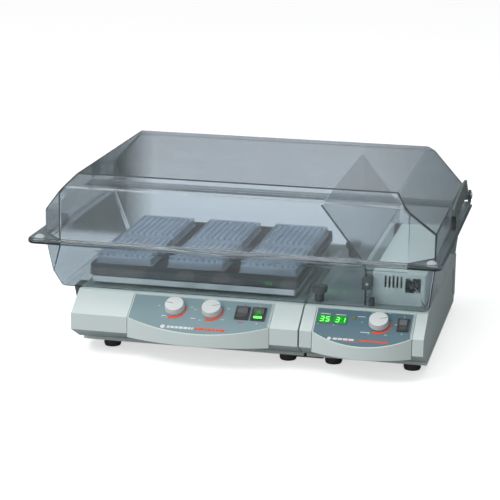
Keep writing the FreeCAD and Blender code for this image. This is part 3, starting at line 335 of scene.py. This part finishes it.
# ---- mesh helpers -------------------------------------------------------------------------
def make_piece(name, bm, material, body, smooth=None):
    """Object from a bmesh in millimetres, riding on a body."""
    bmesh.ops.recalc_face_normals(bm, faces=bm.faces[:])
    bmesh.ops.scale(bm, vec=(MM, MM, MM), verts=bm.verts[:])
    mesh = bpy.data.meshes.new(name)
    bm.to_mesh(mesh)
    bm.free()
    if smooth is not None:
        mesh.shade_smooth()
        mesh.set_sharp_from_angle(angle=math.radians(smooth))
    obj = bpy.data.objects.new(name, mesh)
    obj.data.materials.append(material)
    bpy.context.scene.collection.objects.link(obj)
    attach(obj, body)
    return obj


def slope_matrix(x, s, h=0.0, turn=0.0):
    """From a flat drawing, y up the slope and z out of it, to the panel. Millimetres."""
    out = Vector((0, -math.sin(SLOPE), math.cos(SLOPE)))
    base = Vector((x, SLOPE_BACK_Y - s * math.cos(SLOPE), DECK - s * math.sin(SLOPE))) + out * h
    return Matrix.Translation(base) @ Matrix.Rotation(SLOPE, 4, "X") @ Matrix.Rotation(turn, 4, "Z")


def loop_at(bm, outline, z, matrix=Matrix.Identity(4)):
    """Vertices along an outline of (x, y) points at height z."""
    return [bm.verts.new(matrix @ Vector((x, y, z))) for x, y in outline]


def skin(bm, a, b):
    """Band of faces between two closed loops with the same number of vertices."""
    for i in range(len(a)):
        k = (i + 1) % len(a)
        bm.faces.new((a[i], a[k], b[k], b[i]))


def slab(bm, outline, z, matrix=Matrix.Identity(4)):
    """Prism over a closed outline of (x, y) points, between the pair z."""
    low = loop_at(bm, outline, z[0], matrix)
    high = loop_at(bm, outline, z[1], matrix)
    bm.faces.new(low[::-1])
    bm.faces.new(high)
    skin(bm, low, high)


def rounded(cx, cy, w, h, r, steps=4):
    """Outline of a rounded rectangle."""
    points = []
    for corner, (sx, sy) in enumerate(((1, 1), (-1, 1), (-1, -1), (1, -1))):
        for i in range(steps + 1):
            angle = math.radians(90 * corner + 90 * i / steps)
            x = cx + sx * (w / 2 - r) + r * math.cos(angle)
            y = cy + sy * (h / 2 - r) + r * math.sin(angle)
            points.append((x, y))
    return points


def disc(cx, cy, r, steps=24):
    """Outline of a circle."""
    angles = [math.tau * i / steps for i in range(steps)]
    return [(cx + r * math.cos(angle), cy + r * math.sin(angle)) for angle in angles]


def wedge_arc(r, thick, start, end, steps=40):
    """Arc band; clock angles in degrees, thick at its start and thin at its end."""
    outer, inner = [], []
    for i in range(steps + 1):
        t = i / steps
        angle = math.radians(90 - (start + (end - start) * t))
        width = thick[0] + (thick[1] - thick[0]) * t
        outer.append(((r + width) * math.cos(angle), (r + width) * math.sin(angle)))
        inner.append((r * math.cos(angle), r * math.sin(angle)))
    return outer, inner


def text_mesh(words, size):
    """Triangles of a short number, in millimetres, centred."""
    curve = bpy.data.curves.new("number", "FONT")
    curve.body = words
    curve.size = size
    curve.align_x = "CENTER"
    curve.align_y = "CENTER"
    curve.extrude = 0.03
    curve.resolution_u = 2
    holder = bpy.data.objects.new("number", curve)
    mesh = bpy.data.meshes.new_from_object(holder)
    bpy.data.objects.remove(holder)
    bpy.data.curves.remove(curve)
    return mesh


def add_number(bm, words, size, matrix):
    mesh = text_mesh(words, size)
    mesh.transform(matrix)
    bm.from_mesh(mesh)
    bpy.data.meshes.remove(mesh)


def polar(r, clock):
    """Point at radius r in the direction of a clock angle in degrees."""
    angle = math.radians(90 - clock)
    return r * math.cos(angle), r * math.sin(angle)


def dial_print(name, x, numbers, start, end):
    """Orange wedge and a ring of small numbers round one dial."""
    bm = bmesh.new()
    place = slope_matrix(x, KNOB_S, PRINT_H)
    outer, inner = wedge_arc(16.4, (4.6, 0.6), 199, 68)
    slab(bm, outer + inner[::-1], PRINT_Z, place)
    make_piece(f"{name}_dial_wedge", bm, PRINT_ORANGE, "base")
    bm = bmesh.new()
    for i, words in enumerate(numbers):
        clock = start + (end - start) * i / (len(numbers) - 1)
        px, py = polar(24.0, clock)
        add_number(bm, words, 3.4, place @ Matrix.Translation((px, py, 0.035)))
    make_piece(f"{name}_dial_numbers", bm, PRINT_WHITE, "base")


def bar_row(bm, x, s, length, height, seed, slant=0.6):
    """Row of plain blocks in place of a printed line."""
    draw = random.Random(seed)
    at = 0.0
    while at < length - 2.0:
        w = min(draw.uniform(3.0, 7.5), length - at)
        place = slope_matrix(x + at, s, PRINT_H)
        outline = [(0, -height / 2), (w, -height / 2), (w + slant, height / 2), (slant, height / 2)]
        slab(bm, outline, PRINT_Z, place)
        at += w + 1.1


def spot(bm, x, s, r):
    """Printed disc."""
    slab(bm, disc(0, 0, r), PRINT_Z, slope_matrix(x, s, PRINT_H))


def marks(bm, rows):
    """Printed dashes and dots, each as (x, s, width, height)."""
    for x, s, w, h in rows:
        slab(bm, rounded(0, 0, w, h, min(w, h) * 0.3), PRINT_Z, slope_matrix(x, s, PRINT_H))


def edge_line(name, fascia_x):
    """Fine white border along the label's top and right edges."""
    line = 0.7
    left, right = fascia_x[0] + 2.2, fascia_x[1] - 2.2
    top = -2.45
    bottom = -SLOPE_LENGTH + 1.5
    bm = bmesh.new()
    place = slope_matrix(0, 0, PRINT_H)
    along_top = [(left, top - line), (right, top - line), (right, top), (left, top)]
    slab(bm, along_top, PRINT_Z, place)
    down_right = [(right - line, bottom), (right, bottom), (right, top), (right - line, top)]
    slab(bm, down_right, PRINT_Z, place)
    make_piece(name, bm, PRINT_WHITE, "base")


# ---- printed panels: all places down the slope (s) are from its upper edge ----------------
dial_print("timer", KNOBS["timer"], ["0", "30", "60", "90", "120"], -140, 80)
dial_print("speed", KNOBS["speed"], ["150", "300", "450", "600", "750", "900"], -145, 130)
dial_print("temperature", KNOBS["temperature"], ["5", "15", "25", "35", "45", "60"], -150, 150)
edge_line("shaker_label_border", SHAKER_FASCIA_X)
edge_line("heater_label_border", HEATER_FASCIA_X)

SHAKER_MARKS = (
    (ROCKER_X, 42.6, 1.6, 1.6),
    (-93.0, 40.5, 6.0, 1.3),
    (-50.0, 41.5, 7.5, 1.3),
    (ROCKER_X, 9.0, 1.4, 2.0),
)
bm = bmesh.new()
bar_row(bm, -84.0, 61.0, 38.0, 4.2, 3)
spot(bm, -90.0, 61.0, 3.4)
marks(bm, SHAKER_MARKS)
make_piece("shaker_print_white", bm, PRINT_WHITE, "base")
bm = bmesh.new()
bar_row(bm, -43.0, 61.0, 44.0, 3.8, 8)
make_piece("shaker_print_orange", bm, PRINT_ORANGE, "base")
bm = bmesh.new()
slab(bm, [(-1.6, -1.2), (1.6, -1.2), (0, 1.4)], PRINT_Z, slope_matrix(19.5, 8.0, PRINT_H))
marks(bm, [(19.4, 42.8, 8.0, 1.5)])
make_piece("shaker_print_red", bm, PRINT_RED, "base")

HEATER_MARKS = (
    (187.5, 14.2, 11.0, 1.3),
    (196.5, 43.2, 13.0, 1.3),
    (247.3, 8.6, 1.2, 2.2),
    (247.3, 41.2, 1.7, 1.7),
)
bm = bmesh.new()
bar_row(bm, 153.5, 59.0, 31.0, 3.6, 5)
spot(bm, 148.5, 59.0, 2.8)
for x in DISPLAYS.values():
    marks(bm, [(x - 0.5, 13.4, 14.0, 1.4), (x - 8.0, 33.6, 1.3, 1.3)])
marks(bm, HEATER_MARKS)
make_piece("heater_print_white", bm, PRINT_WHITE, "base")
bm = bmesh.new()
bar_row(bm, 191.0, 59.5, 42.0, 3.2, 12)
marks(bm, [(179.0, 62.6, 20.0, 0.8)])
make_piece("heater_print_orange", bm, PRINT_ORANGE, "base")

# ---- displays: seven-segment figures ------------------------------------------------------
SEGMENTS = {"1": "bc", "3": "abcdg", "5": "acdfg"}
SEGMENT_BOX = {
    "a": (0, 4.2, 4.0, 1.1), "g": (0, 0, 4.0, 1.1), "d": (0, -4.2, 4.0, 1.1),
    "b": (2.3, 2.1, 1.1, 3.5), "c": (2.3, -2.1, 1.1, 3.5), "f": (-2.3, 2.1, 1.1, 3.5),
}
FIGURE_STEP = 8.0
FIGURE_LEAN = 0.10
for words, x in DISPLAYS.items():
    bm = bmesh.new()
    lifted = slope_matrix(x, DISPLAY_S, LABEL_T + DISPLAY_FACE + 0.01)
    for i, figure in enumerate(words):
        for segment in SEGMENTS[figure]:
            cx, cy, w, h = SEGMENT_BOX[segment]
            at = (i - 0.5) * FIGURE_STEP
            outline = rounded(at + cx + cy * FIGURE_LEAN, cy, w, h, 0.45)
            slab(bm, outline, (0.0, 0.12), lifted)
    make_piece(f"display_figures_{words}", bm, SEGMENT_LIT, "base")
    bm = bmesh.new()
    ring_out = rounded(0, 0, 20.0, 14.8, 1.2)
    ring_in = rounded(0, 0, 18.5, 13.3, 0.9)
    place = slope_matrix(x, DISPLAY_S, LABEL_T)
    section = ((ring_out, 0.02), (ring_out, 0.45), (ring_in, 0.62), (ring_in, 0.02))
    rims = [loop_at(bm, outline, z, place) for outline, z in section]
    for k in range(4):
        skin(bm, rims[k], rims[(k + 1) % 4])
    black = SLOTS["black_plastic"]
    make_piece(f"display_bezel_{words}", bm, black, "base", 40)


# ---- rocker lights ------------------------------------------------------------------------
def on_rocker(x):
    """From the rocker's own drawing to its rest place on the panel."""
    pivot = Matrix.Translation((0, 0, -ROCKER_PIVOT))
    tip = pivot @ Matrix.Rotation(ROCKER_TILT, 4, "X") @ pivot.inverted()
    return slope_matrix(x, ROCKER_S, LABEL_T) @ tip


bm = bmesh.new()
rise = math.tan(ROCKER_TILT)
place = on_rocker(ROCKER_X)
corners = []
for y in (-8.6, -5.0):
    for x in (-6.0, 6.0):
        for z in (0.02, 0.5):
            top = ROCKER_VALLEY + abs(y) * rise + z
            corners.append(bm.verts.new(place @ Vector((x, y, top))))
SIDES = ((0, 2, 3, 1), (4, 5, 7, 6), (0, 1, 5, 4), (2, 6, 7, 3), (1, 3, 7, 5), (0, 4, 6, 2))
for side in SIDES:
    bm.faces.new([corners[i] for i in side])
lens = make_piece("power_rocker_lens", bm, ROCKER_LIT, "shaker_power_switch")
bevel = lens.modifiers.new("bevel", "BEVEL")
bevel.width = 0.2 * MM
bevel.segments = 2
bm = bmesh.new()
for low, high, w in ((-4.6, -0.6, 9.0), (0.6, 5.4, 6.0)):
    middle = (low + high) / 2
    sign = 1 if middle > 0 else -1
    tilt = Matrix.Rotation(sign * math.atan(rise), 4, "X")
    top = ROCKER_VALLEY + 0.02 + abs(middle) * rise
    lifted = place @ Matrix.Translation((0, middle, top)) @ tilt
    slab(bm, rounded(0, 0, w, high - low, 0.8), (0.0, 0.2), lifted)
make_piece("power_rocker_glow", bm, ROCKER_DIM, "shaker_power_switch")

# ---- painted shade in the dials' pointer grooves ------------------------------------------
for name, x in KNOBS.items():
    bm = bmesh.new()
    place = slope_matrix(x, KNOB_S, LABEL_T + KNOB_TOP, math.radians(POINTERS[name]))
    slab(bm, [(-0.4, 2.2), (0.4, 2.2), (0.4, 12.6), (-0.4, 12.6)], (-0.55, -0.12), place)
    make_piece(f"{name}_pointer_groove_shade", bm, POINTER_GROOVE_SHADE, f"{name}_dial")


# ---- microplates: ninety-six wells each ---------------------------------------------------
def plate_body(bm, deck):
    """Skirted tray with a rim round its deck."""
    section = (
        (PLATE_W, 3.2, 0.0),
        (PLATE_W, 3.2, 2.6),
        (PLATE_W - 3.4, 2.6, 3.0),
        (PLATE_W - 3.8, 2.4, PLATE_H - 1.2),
        (PLATE_W - 5.4, 2.0, PLATE_H - 1.2),
        (PLATE_W - 5.4, 2.0, deck),
    )
    loops = []
    for width, r, z in section:
        outline = rounded(0, 0, width, width - PLATE_W + PLATE_D, r)
        loops.append(loop_at(bm, outline, z))
    for a, b in zip(loops, loops[1:]):
        skin(bm, a, b)
    bm.faces.new(loops[-1])


def well(bm, cx, cy, deck):
    """Round well with a raised lip, down to a rounded bottom."""
    profile = (
        (4.25, deck + 0.02), (4.1, PLATE_H - 0.5), (3.8, PLATE_H), (3.3, PLATE_H),
        (3.15, deck - 4.5), (2.0, 3.2), (0.5, 2.4),
    )
    loops = [loop_at(bm, disc(cx, cy, r, 12), z) for r, z in profile]
    for a, b in zip(loops, loops[1:]):
        skin(bm, a, b)
    bm.faces.new(loops[-1])


def plate_mesh():
    """Plate about its centre: eight raised ridges of twelve round wells."""
    bm = bmesh.new()
    deck = PLATE_H - 3.6
    plate_body(bm, deck)
    for col in range(WELL_COLUMNS):
        cx = (col - (WELL_COLUMNS - 1) / 2) * WELL_PITCH
        for row in range(WELL_ROWS):
            well(bm, cx, (row - (WELL_ROWS - 1) / 2) * WELL_PITCH, deck)
        for row in range(WELL_ROWS - 1):
            cy = (row - (WELL_ROWS - 2) / 2) * WELL_PITCH
            slab(bm, rounded(cx, cy, 5.6, 2.2, 0.4, 1), (deck - 0.5, PLATE_H - 0.7))
    return bm


plates_low, plates_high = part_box("microplates")
step_x = ((plates_high.x - plates_low.x) / MM - PLATE_W) / 2
step_y = (plates_high.y - plates_low.y) / MM - PLATE_D
for col in range(3):
    for row in range(2):
        cx = plates_low.x / MM + PLATE_W / 2 + col * step_x
        cy = plates_low.y / MM + PLATE_D / 2 + row * step_y
        bm = plate_mesh()
        bmesh.ops.translate(bm, vec=(cx, cy, plates_low.z / MM), verts=bm.verts[:])
        name = f"microplate_{col + 1}_{row + 1}"
        plate = make_piece(name, bm, POLYSTYRENE, "platform", 40)
        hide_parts("microplates")


# ---- small fixings ------------------------------------------------------------------------
def screw_head(name, centre, axis, radius, height):
    """Domed screw head standing out along axis; millimetres."""
    bm = bmesh.new()
    turn = Vector((0, 0, 1)).rotation_difference(Vector(axis)).to_matrix().to_4x4()
    place = Matrix.Translation(centre) @ turn
    profile = (
        (radius, 0.0), (radius, height * 0.35),
        (radius * 0.86, height * 0.75), (radius * 0.55, height),
    )
    loops = [loop_at(bm, disc(0, 0, r, 20), z, place) for r, z in profile]
    for a, b in zip(loops, loops[1:]):
        skin(bm, a, b)
    bm.faces.new(loops[0][::-1])
    bm.faces.new(loops[-1])
    make_piece(name, bm, SCREW_STEEL, "base", 35)


clip_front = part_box("baffle_clips")[0].y / MM
clip_screw = (BAFFLE_SCREW_X, clip_front, BAFFLE_SCREW_Z)
screw_head("front_clip_screw", clip_screw, (0, -1, 0), 2.4, 1.2)


# ---- floor, light and camera --------------------------------------------------------------
def matt(tree, colour, lit):
    """Plain diffuse colour that also gives off a share of itself."""
    shader = node(tree, "ShaderNodeBsdfPrincipled", {"Base Color": (*colour, 1), "Roughness": 0.9})
    shader.inputs["Emission Color"].default_value = (*colour, 1)
    shader.inputs["Emission Strength"].default_value = lit
    return shader.outputs["BSDF"]


def pale_floor():
    """White to look at, a mid grey to what it lights, and cool white behind the hood."""
    material, tree, out = new_material("floor_white")
    path = node(tree, "ShaderNodeLightPath")
    behind = node(tree, "ShaderNodeMixShader")
    link(tree, path.outputs["Is Transmission Ray"], behind.inputs[0])
    link(tree, matt(tree, (0.36, 0.39, 0.39), 0.0), behind.inputs[1])
    link(tree, matt(tree, (0.82, 0.89, 0.97), 0.35), behind.inputs[2])
    mix = node(tree, "ShaderNodeMixShader")
    link(tree, path.outputs["Is Camera Ray"], mix.inputs[0])
    link(tree, behind.outputs["Shader"], mix.inputs[1])
    link(tree, matt(tree, (0.93, 0.93, 0.93), 0.65), mix.inputs[2])
    link(tree, mix.outputs["Shader"], out.inputs["Surface"])
    return material


def add_floor(size):
    bm = bmesh.new()
    bmesh.ops.create_grid(bm, x_segments=8, y_segments=8, size=size)
    mesh = bpy.data.meshes.new("floor")
    bm.to_mesh(mesh)
    bm.free()
    floor = bpy.data.objects.new("floor", mesh)
    floor.location = (0, 3.0, -0.0002)
    floor.data.materials.append(pale_floor())
    bpy.context.scene.collection.objects.link(floor)


def flag(name, start, end, height, clear_x, dark_x, colour):
    """Upright studio card between two (x, y) points, fading in from clear_x to dark_x.

    Only the clear mouldings and the shaded sides see it.
    """
    feet = [(*start, 0), (*end, 0)]
    heads = [(*end, height), (*start, height)]
    mesh = bpy.data.meshes.new(name)
    mesh.from_pydata(feet + heads, [], [(0, 1, 2, 3)])
    card = bpy.data.objects.new(name, mesh)
    material, tree, out = new_material(name)
    place = node(tree, "ShaderNodeTexCoord")
    parts = node(tree, "ShaderNodeSeparateXYZ")
    link(tree, place.outputs["Object"], parts.inputs["Vector"])
    mix = node(tree, "ShaderNodeMixShader")
    link(tree, remap(tree, parts.outputs["X"], 0.0, 1.0, clear_x, dark_x), mix.inputs[0])
    see = node(tree, "ShaderNodeBsdfTransparent")
    link(tree, see.outputs["BSDF"], mix.inputs[1])
    link(tree, matt(tree, colour, 0.0), mix.inputs[2])
    link(tree, mix.outputs["Shader"], out.inputs["Surface"])
    card.data.materials.append(material)
    bpy.context.scene.collection.objects.link(card)
    card.visible_camera = False
    card.visible_shadow = False


def studio_world():
    """Plain white to look at; to the object, a soft sky that is paler overhead."""
    world = bpy.data.worlds.new("studio")
    world.use_nodes = True
    tree = world.node_tree
    tree.nodes.clear()
    out = node(tree, "ShaderNodeOutputWorld")
    sky = node(tree, "ShaderNodeBackground", {"Strength": 0.40})
    coords = node(tree, "ShaderNodeTexCoord")
    parts = node(tree, "ShaderNodeSeparateXYZ")
    link(tree, coords.outputs["Generated"], parts.inputs["Vector"])
    height = remap(tree, parts.outputs["Z"], 0.0, 1.0, -0.05, 0.9)
    pale = mixed_colour(tree, height, (0.62, 0.64, 0.66), (1.0, 1.0, 1.0))
    link(tree, pale, sky.inputs["Color"])
    path = node(tree, "ShaderNodeLightPath")
    plain = node(tree, "ShaderNodeBackground", {"Color": (1, 1, 1, 1), "Strength": 1.0})
    backdrop = node(tree, "ShaderNodeMixShader")
    link(tree, path.outputs["Is Camera Ray"], backdrop.inputs[0])
    link(tree, sky.outputs["Background"], backdrop.inputs[1])
    link(tree, plain.outputs["Background"], backdrop.inputs[2])
    link(tree, backdrop.outputs["Shader"], out.inputs["Surface"])
    return world


def softbox(name, place, target, size, power):
    """Rectangular area light at place, aimed at target; metres and watts."""
    lamp = bpy.data.lights.new(name, "AREA")
    lamp.shape = "RECTANGLE"
    lamp.size, lamp.size_y = size
    lamp.energy = power
    obj = bpy.data.objects.new(name, lamp)
    obj.location = place
    aim = Vector(target) - Vector(place)
    obj.rotation_euler = aim.to_track_quat("-Z", "Y").to_euler()
    bpy.context.scene.collection.objects.link(obj)


def add_camera(place, right, up, ahead, lens):
    """Camera from its place and its three unit axes."""
    camera = bpy.data.cameras.new("camera")
    camera.sensor_width = 36.0
    camera.lens = lens
    camera.clip_end = 60.0
    view = bpy.data.objects.new("camera", camera)
    turn = Matrix((right, up, -ahead)).transposed().to_4x4()
    view.matrix_world = Matrix.Translation(place) @ turn
    bpy.context.scene.collection.objects.link(view)
    bpy.context.scene.camera = view


flag("flag_left", (-1.3, 0.5), (-0.30, 0.5), 0.9, -0.30, -0.36, (0.03, 0.045, 0.04))
flag("flag_right", (0.08, 0.5), (1.2, 0.5), 0.6, 0.06, 0.34, (0.14, 0.165, 0.165))
flag("flag_side", (0.8, -1.0), (0.81, 0.9), 0.7, 0.5, 0.7, (0.17, 0.18, 0.18))
add_floor(9.0)
bpy.context.scene.world = studio_world()
softbox("key", (-1.3, -1.7, 2.1), (0, 0, 0.1), (1.3, 1.0), 29)
softbox("top", (0.1, -0.35, 2.3), (0, 0, 0.15), (2.2, 0.8), 12.5)
softbox("front", (-0.9, -2.7, 0.55), (0, -0.2, 0.05), (1.4, 0.7), 9)
softbox("fill", (1.9, -1.4, 1.1), (0, 0, 0.12), (0.9, 1.2), 2)
add_camera(
    place=(0.557353, -2.611662, 0.814691),
    right=Vector((0.97613014, 0.2167633, 0.01355037)),
    up=Vector((-0.0672814, 0.24248148, 0.9678202)),
    ahead=Vector((-0.20650219, 0.94563016, -0.25127762)),
    lens=131.77,
)
bpy.context.scene.view_settings.view_transform = "Standard"
